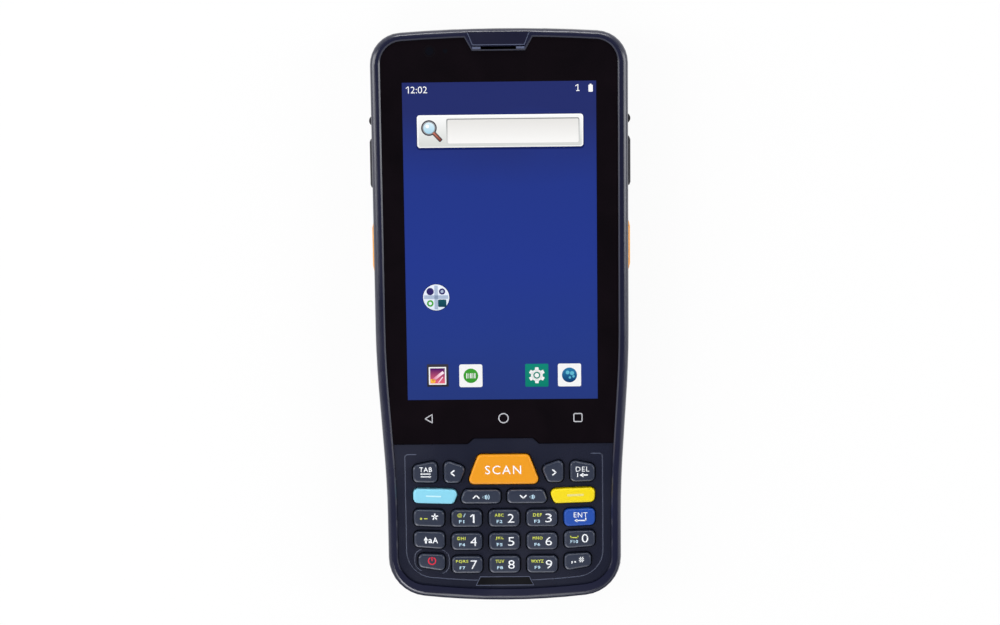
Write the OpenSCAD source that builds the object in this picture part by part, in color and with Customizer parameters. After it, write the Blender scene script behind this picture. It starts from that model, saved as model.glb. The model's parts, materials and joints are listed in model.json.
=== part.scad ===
// Portable barcode data terminal with a touch display, a 24-key pad, a scan engine at its
// top end, two hinged port covers and a hinged battery door.
// It lies on its back: X runs across, Y towards the top end and Z out of the display.
// The origin is at the middle of the flat back.

/* [Display] */
// Width of the picture
screen_w = 51.84; // [46:0.1:58]
// Length of the picture
screen_l = 86.4; // [78:0.1:98]
// Black border above the picture
border_top = 11.7; // [10:0.1:16]
// Black border beside the picture
border_side = 5.8; // [5:0.1:8]
// Touch bar below the picture
touch_bar_l = 12.4; // [11:0.1:16]
// Thickness of the cover glass
glass_t = 1.1; // [0.8:0.1:1.4]
// Thickness of the display module
display_t = 2; // [1.6:0.1:2.3]

/* [Housings] */
// Thickness of the body, back to rim
body_t = 19.2; // [18.8:0.1:22]
// Height at which the two housings meet
parting_z = 9.6; // [9.3:0.1:9.8]
// Thickness of the side walls
wall = 1.6; // [1.3:0.1:1.9]
// Thickness of the rear housing's floor
floor_t = 1.6; // [1.4:0.1:2]
// Width of the rim beside the glass
rim_side = 2.75; // [2.6:0.05:4]
// Width of the rim at the top end
rim_top = 2.2; // [2:0.1:3.5]
// Width of the rim at the keypad end
rim_bottom = 3.45; // [2.6:0.05:4]
// Corner radius at the top end
corner_top = 8.5; // [8.3:0.1:12]
// Corner radius at the keypad end
corner_bottom = 11; // [8.3:0.1:12]
// Radius of the crowned top end
crown_top = 405; // [200:5:800]
// Radius of the crowned keypad end
crown_bottom = 200; // [120:5:400]
// How far the back edge curves in
back_edge_w = 7.25; // [6:0.05:7.45]
// How high the back edge curves up
back_edge_h = 6.5; // [5:0.1:7.5]

/* [Keypad] */
// Width of a key
key_w = 8.65; // [7.5:0.05:9.2]
// Height of a digit key
key_h = 5; // [4.2:0.1:5.6]
// Gap between two columns of keys
column_gap = 1.7; // [1.6:0.01:3]
// Gap between two rows of keys
row_gap = 1.55; // [1.5:0.01:3]
// Gap below the scan key
scan_gap = 1.35; // [1.3:0.01:3]
// Height of the scan key and its row
scan_h = 8.4; // [7.5:0.05:10]
// Width of the scan key at its top
scan_w = 14; // [12:0.1:16]
// Height of the row of short keys
short_h = 4.15; // [3.6:0.05:5]
// Deck above the scan key
deck_top = 2.9; // [2.5:0.05:5]
// Deck beside the keys, up to the rim
deck_side = 4.42; // [4:0.01:8]
// Chin below the keys, rim included
chin_l = 8.05; // [7.9:0.05:14]
// How far the keys stand proud of the deck
key_rise = 1.2; // [0.8:0.1:1.6]
// Travel of a key
key_travel = 0.6; // [0.3:0.1:0.8]

/* [Sides] */
// Length of a scan trigger
trigger_l = 13.4; // [10:0.1:18]
// Height of a scan trigger
trigger_h = 4.6; // [3.6:0.1:4.8]
// How far a trigger stands proud of the side
trigger_rise = 0.55; // [0.3:0.05:1]
// Travel of a trigger
trigger_travel = 0.5; // [0.2:0.1:0.6]
// Length of the pad of a port cover
cover_l = 13.1; // [11:0.1:16]
// Height of a port cover
cover_h = 5.4; // [4.8:0.1:5.5]
// How far a port cover stands proud of the side
cover_rise = 0.7; // [0.3:0.1:1.2]
// Radius of a port cover's hinge knuckle
knuckle_r = 1.5; // [1.3:0.05:1.6]

/* [Battery bay] */
// Width of the battery
battery_w = 44; // [38:0.5:45]
// Length of the battery
battery_l = 72; // [60:0.5:74]
// Thickness of the battery
battery_t = 5.6; // [4.5:0.1:6.1]
// Thickness of the battery door
door_t = 1.6; // [1.4:0.1:1.7]
// Ledge that the door rests on, beside the bay
door_ledge = 2.1; // [1.5:0.1:2.4]
// Travel of the door latch
latch_travel = 2; // [1:0.1:2.5]

/* [Hidden] */
$fn = 48;

// Clearances
slip = 0.1;          // between pieces that are laid in each other
play = 0.2;          // round pieces that turn or slide
key_play = 0.25;     // between a keycap and its hole
fit = 0.02;          // pins and screws in their holes
running_fit = 0.05;  // a turning bore round its pin

// Colours
housing_colour = "#23273a";
deck_colour = "#1f2333";
key_colour = "#2e3446";
glass_colour = "#08080b";
rubber_colour = "#26262a";
metal_colour = "#a9adb3";
board_colour = "#1d5b3a";
orange = "#f8a01c";

// Widths and lengths of the body
keypad_w = 5 * key_w + 4 * column_gap;
body_w = screen_w + 2 * (border_side + rim_side);
grip_w = keypad_w + 2 * (deck_side + rim_side);
keypad_l = deck_top + scan_h + scan_gap + short_h + 3 * (row_gap + key_h) + chin_l;
body_l = rim_top + border_top + screen_l + touch_bar_l + keypad_l;

// Places along the body
end_y = body_l / 2;
glass_y1 = end_y - rim_top;
screen_y1 = glass_y1 - border_top;
screen_y0 = screen_y1 - screen_l;
glass_y0 = screen_y0 - touch_bar_l;
scan_y1 = glass_y0 - deck_top;
scan_y0 = scan_y1 - scan_h;
short_y1 = scan_y0 - scan_gap;
short_y0 = short_y1 - short_h;
digit_y1 = short_y0 - row_gap;
keys_y0 = -end_y + chin_l;
waist_y1 = glass_y0 + 31.5;    // the grip starts to narrow here
waist_y0 = glass_y0 - 20.5;    // and is narrow from here on
port_y = screen_y1 - 21.8;
trigger_y = screen_y1 - 44.65;
hinge_y = screen_y1 - 10.4;    // port covers turn here

// Heights of the display stack
glass_drop = 0.4;
glass_z1 = body_t - glass_drop;
glass_z0 = glass_z1 - glass_t;
gasket_t = 0.3;
glass_seat_z = glass_z0 - gasket_t;
display_z1 = glass_z0 - slip;
display_z0 = display_z1 - display_t;
chassis_t = 1;
chassis_z0 = display_z0 - chassis_t;
ledge_z = glass_seat_z - 1.4;  // underside of the ledge that carries glass and deck
ledge_w = 2.5;
rib_l = 3.3;                   // length of the cross rib behind the glass's lower edge
tab_l = 3.65;                  // how far the rim's tab reaches into the glass
slot_y = glass_y1 - 2.9;       // middle of the earpiece slot
slot_x = 4.7;
slot_h = 0.4;                  // half its height
plate_t = 0.35;

// Heights of the keypad stack
deck_drop = 0.6;
deck_z = body_t - deck_drop;
deck_t = 1.6;
deck_seat_z = deck_z - deck_t;
flange_t = 0.7;
flange_w = 0.4;
flange_z1 = deck_seat_z - slip;
flange_z0 = flange_z1 - flange_t;
mat_t = 0.9;
mat_z1 = flange_z0 - key_travel - 0.3;
dome_h = 0.5;
dome_r = 2.2;
film_t = 0.2;
keyboard_t = 1;
plunger_r = 1.7;
plunger_l = 1.75;
dome_z = flange_z0 - plunger_l - key_travel - 0.15;  // top of the domes
film_z1 = dome_z - dome_h;
keyboard_z1 = film_z1 - film_t;
keyboard_z0 = keyboard_z1 - keyboard_t;

// Main board, which carries the ports
port_z = parting_z + 3.3;
usb_w = 8.94;
usb_h = 3.26;
usb_l = 6.4;
usb_shell = 0.3;
port_recess = 1.1;             // from the seat of a port cover to the port's face
cover_seat = 1.2;              // depth of the recess that a cover lies in
port_x = body_w / 2 - cover_seat - port_recess;
board_z1 = port_z - usb_h / 2;
board_t = 1;
board_z0 = board_z1 - board_t;
board_side = 4.3;              // from the outside of the body to the board's edge
board_y1 = screen_y1 - 9.3;
board_y0 = screen_y0 - 7.9;

// Headset jack
jack_r = 1.8;
jack_l = 12;
jack_w = 6;
jack_h = 4.6;
jack_depth = 11.2;
jack_mouth_r = 2.7;

// Battery bay and door
battery_y0 = keys_y0 + 11.45;
battery_z0 = door_t + play;
battery_z1 = battery_z0 + battery_t;
bay_roof_t = 1;
bay_wall = 1.2;
bay_z1 = battery_z1 + play + bay_roof_t;
bay_gap = 0.3;
bay_x = battery_w / 2 + bay_gap;
bay_y0 = battery_y0 - bay_gap;
bay_y1 = battery_y0 + battery_l + bay_gap;
door_x = bay_x + door_ledge;
door_round = 2;
door_y0 = bay_y0 - 9.2;
door_hinge_y = bay_y1 + 4.2;
door_barrel_r = 1.3;
door_pin_r = 0.5;
latch_w = 14;
latch_l = 5.2;
latch_t = 0.9;
tongue_w = 8;
tongue_l = 2.9;
tongue_t = 0.55;
latch_y0 = door_y0 + 1.4;
contacts_w = 10;
contacts_y = bay_y1 - 5.5;

// Port covers and triggers
cover_y1 = hinge_y - 4.9;
cover_y0 = cover_y1 - cover_l;
hinge_x = body_w / 2 + cover_rise - knuckle_r;
hinge_pin_r = 0.4;
cover_pin_z0 = parting_z - 1.4;
cover_pin_z1 = body_t - 2;
port_pad = 1.6;                // extra wall behind the port recess
trigger_flange = 0.6;
trigger_flange_t = 0.9;

// Screws
screw_r = 0.95;
head_r = 1.9;
head_t = 1.4;
head_z = 3.6;                  // seat of the screw heads above the back
screw_tip_z = ledge_z - 1.2;
boss_r = 2.2;
pillar_r = 1.4;

// Scan engine and window
window_w = 23;
window_h = 8;
window_z = parting_z - 1;
window_t = 0.9;
window_frame = 1;
engine_w = 21;
engine_l = 14;
engine_h = 9.4;
engine_y1 = end_y - wall - 1.4;
engine_z0 = window_z - engine_h / 2;
window_y = end_y - wall + 0.3;  // seat of the window

// Charging contacts
contact_n = 5;
contact_pitch = 3;
contact_r = 1;
contact_z = parting_z - 2.6;
contacts_x = contact_pitch * (contact_n - 1) / 2;

// Edges of the housings and the seal between them
parting_in = 0.25;             // how far the walls draw in at the parting line
rim_round_w = 1.7;
rim_round_h = 2;
seal_in = 0.55;
seal_w = 0.5;
seal_h = 0.5;

// Fine line moulded into the deck round the keys
line_w = 0.3;
line_depth = 0.2;
line_x = keypad_w / 2 + 2.1;
line_y0 = keys_y0 - 2.3;
line_y1 = scan_y1;
line_rounds = [7.5, 0.9];      // its corners at the lower end and at the top
line_stub = 3.2;               // how far it runs in at the top
power_line = 1;                // a line as fine follows the power key's two sides, this far from it

// Raised middle of the deck behind the scan key, as [half width, height above the line]
deck_peak = [[9.8, 0], [8.2, 1.55]];

// Tab of the rim and the two plates: half widths at their narrow and wide ends, and places
tab_x = [7.1, 9.2];
top_plate_x = [7, 8.35];
top_plate_y = [glass_y1 - 2.2, glass_y1 + 1.2];
lower_plate_x = [6.85, 8.1];
lower_plate_y = [keys_y0 - 1.05, keys_y0 - 3.65];

// ---- Curves ----

function arc(c, r, a0, a1, n) =
    [for (i = [0 : n]) c + r * [cos(a0 + (a1 - a0) * i / n), sin(a0 + (a1 - a0) * i / n)]];

function flipped_y(points) = [for (i = [len(points) - 1 : -1 : 0]) [points[i].x, -points[i].y]];
function flipped_x(points) = [for (i = [len(points) - 1 : -1 : 0]) [-points[i].x, points[i].y]];

// Right half of a crowned end at the height -e, up to where its corner meets the side at x = w
function end_half(w, e, crown, r) =
    let (c = [0, crown - e], k = [w - r, crown - e - sqrt((crown - r) ^ 2 - (w - r) ^ 2)],
         a = atan2(k.y - c.y, k.x))
    concat(arc(c, crown, -90, a, 4), [for (p = arc(k, r, a, 0, 8)) if (p.x > k.x + r * cos(a)) p]);

// Side of the body, which narrows in an S from the display to the grip
function waist(w0, w1) =
    [for (i = [0 : 10]) [w0 + (w1 - w0) * (1 - cos(18 * i)) / 2, waist_y0 + (waist_y1 - waist_y0) * i / 10]];

// Outline of the body, drawn in by these amounts at the sides, the top and the bottom
function body_outline(side, top, bottom) =
    let (w0 = grip_w / 2 - side, w1 = body_w / 2 - side,
         low = end_half(w0, end_y - bottom, crown_bottom - bottom, corner_bottom - (side + bottom) / 2),
         high = flipped_y(end_half(w1, end_y - top, crown_top - top, corner_top - (side + top) / 2)),
         right = concat(low, waist(w0, w1), high))
    concat(right, [for (p = flipped_x(right)) if (p.x < 0) p]);

// The same outline inside the rim, for the glass and the deck
function inside_rim(gap) = body_outline(rim_side + gap, rim_top + gap, rim_bottom + gap);

// Course of the fine line, which follows the crowned keypad end, moved out by d
function deck_line(d) =
    let (top = line_rounds[1],
         half = concat(end_half(line_x + d, -line_y0 + d, crown_bottom, line_rounds[0] + d),
             arc([line_x - top, line_y1 - top], top + d, 0, 90, 4)))
    concat(half, [for (p = flipped_x(half)) if (p.x < 0) p]);

// One corner of a polygon, rounded by r and then drawn in by d
function round_corner(p, q, s, r, d) =
    let (u = (q - p) / norm(q - p), v = (s - q) / norm(s - q),
         a = atan2(u.y, u.x) - 90, b = atan2(v.y, v.x) - 90, turn = b < a ? b - a + 360 : b - a,
         c = q - u * r * tan(turn / 2) + r * [-u.y, u.x])
    arc(c, r - d, a, a + turn, 4);

// A convex polygon, counterclockwise, with rounded corners and drawn in by d
function rounded(points, r, d = 0) =
    let (n = len(points))
    [for (i = [0 : n - 1]) each round_corner(points[(i + n - 1) % n], points[i], points[(i + 1) % n], r, d)];

function rectangle(x0, x1, y0, y1) = [[x0, y0], [x1, y0], [x1, y1], [x0, y1]];

function backwards(list) = [for (i = [len(list) - 1 : -1 : 0]) list[i]];

// Quarter of an ellipse as [height, draw-in] steps, from the side wall to the flat
function edge_steps(z, h, side, w, n) =
    [for (i = [0 : n]) let (a = 90 * i / n) [z + h * sin(a), side + w * (1 - cos(a))]];

// ---- Solids that the pieces are made of ----

// Closed skin over rings of the same outline, one for each [height, draw-in] step
module loft(ring, steps, centre = [0, 0]) {
    rings = [for (s = steps) ring(s[1])];
    n = len(rings[0]);
    last = len(steps) - 1;
    points = [for (k = [0 : last]) each [for (p = rings[k]) [p.x, p.y, steps[k][0]]]];
    ends = [[centre.x, centre.y, steps[0][0]], [centre.x, centre.y, steps[last][0]]];
    sides = [for (k = [0 : last - 1], i = [0 : n - 1]) let (j = (i + 1) % n)
        [k * n + i, (k + 1) * n + i, (k + 1) * n + j, k * n + j]];
    caps = [for (i = [0 : n - 1]) let (j = (i + 1) % n)
        each [[n * (last + 1), i, j], [n * (last + 1) + 1, last * n + j, last * n + i]]];
    polyhedron(concat(points, ends), concat(sides, caps));
}

module prism(points, z0, z1) translate([0, 0, z0]) linear_extrude(z1 - z0) polygon(points);

module block(x0, x1, y0, y1, z0, z1) translate([x0, y0, z0]) cube([x1 - x0, y1 - y0, z1 - z0]);

module disc(x, y, r, z0, z1) translate([x, y, z0]) cylinder(r = r, h = z1 - z0);

module rod_x(x0, x1, y, z, r) translate([x0, y, z]) rotate([0, 90, 0]) cylinder(r = r, h = x1 - x0);

module rod_y(x, y0, y1, z, r) translate([x, y1, z]) rotate([90, 0, 0]) cylinder(r = r, h = y1 - y0);

// Long round-ended shape seen along X, centred on a port
module port_shape(x0, x1, w, h) {
    block(x0, x1, port_y - (w - h) / 2, port_y + (w - h) / 2, port_z - h / 2, port_z + h / 2);
    for (s = [-1, 1]) rod_x(x0, x1, port_y + s * (w - h) / 2, port_z, h / 2);
}

module both_sides() {
    children();
    mirror([1, 0, 0]) children();
}

// ---- Shared places ----

// Screws stand in the corners and beside the display
function corner_boss(w, e, crown, r, up) =
    let (k = end_half(w, e, crown, r), c = [w - r, k[len(k) - 1].y], d = (r - wall + 0.3 - boss_r) * sqrt(0.5))
    [c.x + d, up * (c.y - d)];
screws = [
    corner_boss(body_w / 2, end_y, crown_top, corner_top, -1),
    corner_boss(grip_w / 2, end_y, crown_bottom, corner_bottom, 1),
    [body_w / 2 - wall - boss_r + 0.3, waist_y1 + 5],
];
chassis_feet = [for (y = [board_y1 - 3, waist_y1 + 12, board_y0 + 2.3]) [screen_w / 2 + 0.6, y]];
board_posts = [for (y = [bay_y1 - 2, bay_y0 + 32]) [bay_x - 3, y]];
keyboard_pillars = [for (y = [scan_y1 - 2.8, keys_y0 + 8]) [keypad_w / 2 + 3.3, y]];
speaker_y = door_hinge_y + 17;

// Keys: each is a name, its corners and its colour
column = key_w + column_gap;
key_round = 1.45;
outer_bottoms = [[0.4, 0], [1, 0.25], [1.85, 0.5]];    // the outer keys' lower corners rise row by row, as
outer_tops = [[0.3, 0], [0.65, 0.35], [0.85, 0.5]];    // do their upper corners, each [outside, inside]
outer_in = [0, 0, 1.1];                                // and the last row is narrower

// The scan key is a trapezium, with an arrow key and a side key at each of its sloping flanks
slant = 0.385;                                // slope of the flanks
scan_x = scan_w / 2 + slant * scan_h;
flank_gap = 1.8;
side_key_w = 6.9;
side_key_x = keypad_w / 2 - side_key_w;       // inner side of the side keys
side_drops = [1.55, 2.95];                    // their tops below the scan key's top, inside and outside
side_lifts = [0.45, 0.65];                    // and their bottoms above its bottom
arrow_x = side_key_x - 1.65;                  // outer side of the arrow keys
arrow_drops = [3.5, 1.2];
arrow_lift = 0.4;
arrow_in = scan_w / 2 + slant * arrow_drops[0] + flank_gap;

// Below it are two coloured keys and, between them, two volume keys
colour_in = keypad_w / 2 - 12.85;
colour_lifts = [0.35, 0.42];
volume_in = 0.75;
volume_out = colour_in - 1.2;

function row_y(row) = digit_y1 - key_h / 2 - row * (key_h + row_gap);

function digit_corners(col, row) =
    rectangle(col * column - key_w / 2, col * column + key_w / 2, row_y(row) - key_h / 2, row_y(row) + key_h / 2);

function outer_corners(row) =
    let (x0 = -keypad_w / 2 + outer_in[row], x1 = -keypad_w / 2 + key_w, low = outer_bottoms[row],
         high = outer_tops[row], y0 = row_y(row) - key_h / 2, y1 = y0 + key_h)
    [[x0, y0 + low[0]], [x1, y0 + low[1]], [x1, y1 + high[1]], [x0, y1 + high[0]]];

scan_corners = [[-scan_x, scan_y0], [scan_x, scan_y0], [scan_w / 2, scan_y1], [-scan_w / 2, scan_y1]];
side_corners = [[-keypad_w / 2, scan_y0 + side_lifts[1]], [-side_key_x, scan_y0 + side_lifts[0]],
    [-side_key_x, scan_y1 - side_drops[0]], [-keypad_w / 2, scan_y1 - side_drops[1]]];
arrow_corners = [[-arrow_x, scan_y0 + arrow_lift], [-scan_x - flank_gap, scan_y0 + arrow_lift],
    [-arrow_in, scan_y1 - arrow_drops[0]], [-arrow_x, scan_y1 - arrow_drops[1]]];
colour_corners = [[-keypad_w / 2, short_y0 + colour_lifts[0]], [-colour_in - slant * short_h, short_y0],
    [-colour_in, short_y1], [-keypad_w / 2, short_y1 + colour_lifts[1]]];
volume_corners = [[-volume_out - slant * short_h, short_y0], [-volume_in, short_y0],
    [-volume_in, short_y1], [-volume_out, short_y1]];

keys = concat([
    ["key_scan", scan_corners, orange],
    ["key_tab", side_corners, key_colour],
    ["key_delete", flipped_x(side_corners), key_colour],
    ["key_left", arrow_corners, key_colour],
    ["key_right", flipped_x(arrow_corners), key_colour],
    ["key_cyan", colour_corners, "#7fd3ee"],
    ["key_yellow", flipped_x(colour_corners), "#f3dc12"],
    ["key_up", volume_corners, key_colour],
    ["key_down", flipped_x(volume_corners), key_colour],
    ["key_star", outer_corners(0), key_colour],
    ["key_enter", flipped_x(outer_corners(0)), "#1f57b5"],
    ["key_shift", outer_corners(1), key_colour],
    ["key_0", flipped_x(outer_corners(1)), key_colour],
    ["key_power", outer_corners(2), key_colour],
    ["key_hash", flipped_x(outer_corners(2)), key_colour]],
    [for (row = [0 : 2], col = [-1 : 1]) [str("key_", 3 * row + col + 2), digit_corners(col, row), key_colour]]);

function middle(corners) = (corners[0] + corners[1] + corners[2] + corners[3]) / 4;

// ---- Front housing, deck and glass ----

// Everything below the line between glass and deck, whose middle is raised behind the scan key
module deck_region(gap, z0, z1) {
    half = concat([[body_w, -end_y - 1], [body_w, glass_y0 + gap]],
        [for (p = deck_peak) p + [gap, glass_y0 + gap]]);
    prism(concat(half, flipped_x(half)), z0, z1);
}

// Tab of the rim that reaches down into the glass and holds the earpiece slot
module rim_tab(gap, z0, z1) {
    half = [[tab_x[0] + gap, glass_y1 - tab_l - gap], [tab_x[1] + gap, glass_y1], [tab_x[1] + gap, end_y]];
    prism(concat(half, flipped_x(half)), z0, z1);
}

module top_plate_shape(gap, z0, z1) {
    half = [[top_plate_x[0] + gap, top_plate_y[0] - gap], [top_plate_x[1] + gap, top_plate_y[1] + gap]];
    prism(concat(half, flipped_x(half)), z0, z1);
}

module lower_plate_shape(gap, z0, z1) {
    half = [[lower_plate_x[1] + gap, lower_plate_y[1] - gap], [lower_plate_x[0] + gap, lower_plate_y[0] + gap]];
    prism(concat(half, flipped_x(half)), z0, z1);
}

// Room inside the ledge, apart from the cross rib and the tab
module ledge_opening(gap, z0, z1) {
    in = ledge_w + gap;
    difference() {
        prism(body_outline(rim_side + in, rim_top + in, rim_bottom + in), z0, z1);
        block(-body_w, body_w, scan_y1 + flange_w + 0.35, glass_y0 + rib_l - gap, z0 - 1, z1 + 1);
        rim_tab(gap, z0 - 1, z1 + 1);
    }
}

module at_screws() both_sides() for (s = screws) translate(s) children();

// Pocket in the side wall that a port cover lies and turns in
module cover_pocket() {
    z0 = port_z - cover_h / 2 - play;
    z1 = port_z + cover_h / 2 + play;
    block(body_w / 2 - cover_seat, body_w / 2 + 2, cover_y0 - play, hinge_y, z0, z1);
    disc(hinge_x, hinge_y, knuckle_r + play, z0, z1);
}

module scan_window_pocket(gap) {
    z0 = window_z - window_h / 2;
    z1 = window_z + window_h / 2;
    block(-window_w / 2 - gap, window_w / 2 + gap, window_y, end_y + 1, z0 - gap, z1 + gap);
    block(-window_w / 2 + window_frame, window_w / 2 - window_frame, window_y - wall, end_y + 1,
        z0 + window_frame, z1 - window_frame);
}

module seal_ring(gap, z0, z1) {
    in = seal_in - gap;
    out = seal_in + seal_w + gap;
    difference() {
        prism(body_outline(in, in, in), z0, z1);
        prism(body_outline(out, out, out), z0 - 1, z1 + 1);
    }
}

module front_housing() color(housing_colour) difference() {
    loft(function (d) body_outline(d, d, d), concat([[parting_z, parting_in], [parting_z + 0.5, 0]],
        edge_steps(body_t - rim_round_h, rim_round_h, 0, rim_round_w, 5)));
    // Room inside, with bosses for the screws, pads behind the ports and pillars for the key board
    difference() {
        prism(body_outline(wall, wall, wall), parting_z - 1, ledge_z);
        at_screws() cylinder(r = boss_r, h = body_t);
        both_sides() {
            block(body_w / 2 - wall - port_pad, body_w, cover_y0 - 1.6, hinge_y + 2.8, 0, body_t);
            for (p = keyboard_pillars) disc(p.x, p.y, pillar_r, keyboard_z1, body_t);
        }
    }
    at_screws() cylinder(r = screw_r + fit, h = screw_tip_z + 0.5);
    ledge_opening(0, ledge_z - 1, body_t + 1);
    // Seats of the glass and of the deck
    difference() {
        prism(inside_rim(0), glass_seat_z, body_t + 1);
        rim_tab(0, 0, body_t + 2);
    }
    intersection() {
        prism(inside_rim(0), deck_seat_z, body_t + 1);
        deck_region(0, 0, body_t + 2);
    }
    top_plate_shape(slip, body_t - plate_t - slip, body_t + 1);
    block(-slot_x, slot_x, slot_y - slot_h, slot_y + slot_h, ledge_z - 1, body_t + 1);
    both_sides() {
        cover_pocket();
        disc(hinge_x, hinge_y, hinge_pin_r + fit, 0, cover_pin_z1);
        block(body_w / 2 - wall - 1, body_w, trigger_y - trigger_l / 2 - play, trigger_y + trigger_l / 2 + play,
            port_z - trigger_h / 2 - play, port_z + trigger_h / 2 + play);
    }
    port_shape(-body_w / 2, -port_x + usb_l - 1, usb_w + 0.4, usb_h + 0.4);
    rod_x(port_x, body_w / 2, port_y, port_z, jack_mouth_r);
    block(port_x - 4, port_x, port_y - jack_w / 2 - slip, port_y + jack_w / 2 + slip,
        port_z - jack_h / 2 - slip, port_z + jack_h / 2 + slip);
    scan_window_pocket(slip);
    seal_ring(0, parting_z - 1, parting_z + seal_h / 2);
}

module keypad_bezel() color(deck_colour) difference() {
    intersection() {
        prism(inside_rim(slip), deck_seat_z, deck_z);
        deck_region(-slip, 0, body_t);
    }
    for (k = keys) prism(rounded(k[1], key_round, -key_play), 0, body_t);
    lower_plate_shape(slip, deck_z - plate_t, body_t);
    // Fine line round the keys, which runs in a short way at the top and ends at the lower plate
    difference() {
        prism(deck_line(line_w / 2), deck_z - line_depth, body_t);
        prism(deck_line(-line_w / 2), 0, body_t + 1);
        block(-line_x + line_stub, line_x - line_stub, scan_y1 - 2, scan_y1 + 2, 0, body_t + 1);
    }
    power = outer_corners(2);
    difference() {
        prism(rounded(power, key_round, -power_line - line_w / 2), deck_z - line_depth, body_t);
        prism(rounded(power, key_round, -power_line + line_w / 2), 0, body_t + 1);
        block(power[0].x + 1, power[1].x - 1, keys_y0 - 2, digit_y1, 0, body_t + 1);
    }
}

module touch_glass() color(glass_colour) difference() {
    prism(inside_rim(slip), glass_z0, glass_z1);
    deck_region(slip, 0, body_t);
    rim_tab(slip, 0, body_t);
}

module glass_gasket() color(rubber_colour) difference() {
    prism(inside_rim(0.3), glass_seat_z, glass_z0);
    ledge_opening(-0.3, 0, body_t);
    deck_region(0.3, 0, body_t);
    rim_tab(0.3, 0, body_t);
}

module top_plate() color(housing_colour) top_plate_shape(0, body_t - plate_t - slip, body_t - slip);

module lower_plate() color(glass_colour) lower_plate_shape(0, deck_z - plate_t, deck_z + 0.05);

// ---- Rear housing ----

// Plate of the battery door, with round corners at the latch end
module door_plate(gap, z0, z1) {
    prism(rounded(rectangle(-door_x - gap, door_x + gap, door_y0 - gap, door_y0 + 12), door_round + gap), z0, z1);
    block(-door_x - gap, door_x + gap, door_y0 + 6, door_hinge_y, z0, z1);
}

module rear_housing() color(housing_colour) difference() {
    loft(function (d) body_outline(d, d, d), concat(
        backwards(edge_steps(back_edge_h, -back_edge_h, 0, back_edge_w, 6)),
        [[parting_z - 0.5, 0], [parting_z, parting_in]]));
    // Room inside, round the battery bay, the door's frame and hinge beam, and the bosses
    difference() {
        loft(function (d) body_outline(d, d, d), concat(
            backwards(edge_steps(back_edge_h + 0.4, floor_t - back_edge_h - 0.4, wall, back_edge_w - wall, 3)),
            [[parting_z + 1, wall]]));
        block(-bay_x - bay_wall, bay_x + bay_wall, bay_y0 - bay_wall, bay_y1 + bay_wall, 0, bay_z1);
        block(-door_x - 1.4, door_x + 1.4, door_y0 - 3, door_hinge_y, 0, door_t + 1.4);
        block(-door_x - 2.6, door_x + 2.6, bay_y1, door_hinge_y + 3, 0, 2 * door_barrel_r + 1.8);
        at_screws() cylinder(r = head_r + 0.9, h = parting_z);
        both_sides() {
            for (p = board_posts) disc(p.x, p.y, 1.5, 0, board_z0);
            block(3.5, 8.5, engine_y1 - engine_l + 2, engine_y1 - 3, 0, engine_z0);
        }
    }
    block(-bay_x, bay_x, bay_y0, bay_y1, -1, battery_z1 + play);
    block(-contacts_w / 2 - 0.4, contacts_w / 2 + 0.4, contacts_y - 3, contacts_y + 3, 0, parting_z);
    door_plate(play, -1, door_t + slip);
    // The door's barrel and outer face swing through here
    rod_x(-door_x - play, door_x + play, door_hinge_y, door_barrel_r, door_barrel_r + play);
    block(-door_x - play, door_x + play, door_hinge_y - 1, door_hinge_y + door_barrel_r + play, -1, door_barrel_r);
    rod_x(-door_x - 2.2, door_x + 2.2, door_hinge_y, door_barrel_r, door_pin_r + fit);
    block(-tongue_w / 2 - 0.3, tongue_w / 2 + 0.3, latch_y0 - tongue_l - 0.3, door_y0 + 1, -1, latch_t + 0.4);
    at_screws() {
        cylinder(r = screw_r + 0.15, h = parting_z + 1);
        translate([0, 0, -1]) cylinder(r = head_r + 0.15, h = head_z + 1);
    }
    for (i = [-2 : 2]) block(i * 2.8 - 0.6, i * 2.8 + 0.6, speaker_y - 5, speaker_y + 5, -1, floor_t + 1);
    both_sides() disc(hinge_x, hinge_y, hinge_pin_r + fit, cover_pin_z0, parting_z + 1);
    block(-contacts_x - 2.5, contacts_x + 2.5, -end_y - 1, -end_y + 0.5, contact_z - 1.8, contact_z + 1.8);
    for (i = [0 : contact_n - 1])
        rod_y(-contacts_x + i * contact_pitch, -end_y - 1, -end_y + wall + 1, contact_z, contact_r + fit);
    scan_window_pocket(slip);
    seal_ring(0, parting_z - seal_h / 2, parting_z + 1);
}

module housing_seal() color(rubber_colour) difference() {
    seal_ring(-0.05, parting_z - seal_h / 2, parting_z + seal_h / 2);
    block(-window_w / 2 - 1, window_w / 2 + 1, window_y - 1, end_y + 1, 0, body_t);
    both_sides() disc(hinge_x, hinge_y, hinge_pin_r + slip, 0, body_t);
}

module housing_screws() color(metal_colour) at_screws() difference() {
    union() {
        translate([0, 0, head_z - head_t]) cylinder(r = head_r, h = head_t);
        translate([0, 0, head_z - 0.1]) cylinder(r = screw_r, h = screw_tip_z - head_z + 0.1);
    }
    translate([0, 0, head_z - head_t - 1]) cylinder(r = 0.9, h = 1.8, $fn = 6);
}

// ---- Display stack ----

module display_module() color("#10131c") {
    x = screen_w / 2 + 2.08;
    block(-x, x, screen_y0 - 1.6, screen_y1 + 2, display_z0, display_z1);
    block(-x, x, screen_y0 - 7, screen_y0 - 1.6, display_z0, display_z1 - 0.7);
    block(-9, 9, screen_y0 - 7, screen_y0 - 2.4, display_z1 - 0.7, display_z1 - 0.4);
}

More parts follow.
